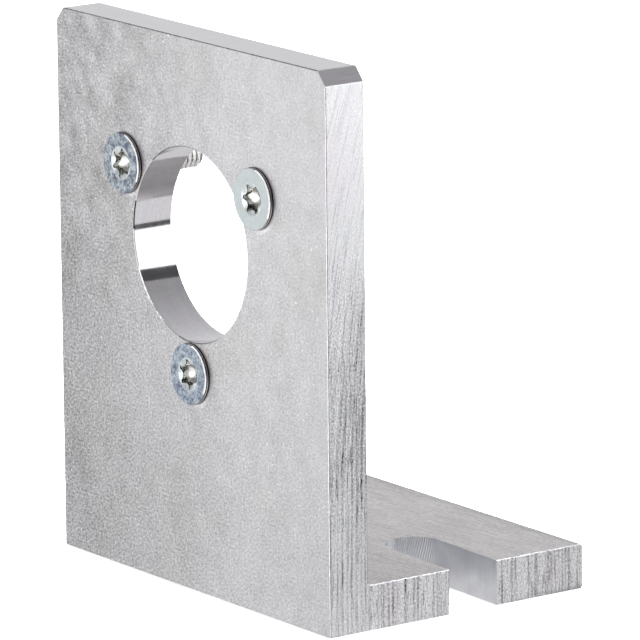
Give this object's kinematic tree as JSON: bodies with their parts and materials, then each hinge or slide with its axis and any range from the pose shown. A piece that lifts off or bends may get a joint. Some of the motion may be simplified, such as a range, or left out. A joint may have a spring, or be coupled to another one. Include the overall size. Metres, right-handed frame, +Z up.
{
  "type": "angle bracket",
  "caption": "Thick aluminium angle bracket: its upright has a large bore with flat-headed screws set close round it, and its foot has a slot open at each side.",
  "frame": {"origin": "on the underside of the foot, in the middle of the line through the mouths of both foot slots", "axes": "+Z up along the upright; +Y from the upright's front face back along the foot, and along the bore; +X across the width, to the right as seen from the front"},
  "size_m": [0.06, 0.0408, 0.0725],
  "materials": {
    "aluminium": "mill finish with fine handling scratches, sawn at the sides, turned in the bore",
    "zinc_plated_steel": "bright zinc plate with a bluish tint"
  },
  "bodies": {
    "root": {"bracket": "aluminium", "screw_right": "zinc_plated_steel", "screw_left": "zinc_plated_steel", "screw_bottom": "zinc_plated_steel"}
  },
  "joints": []
}
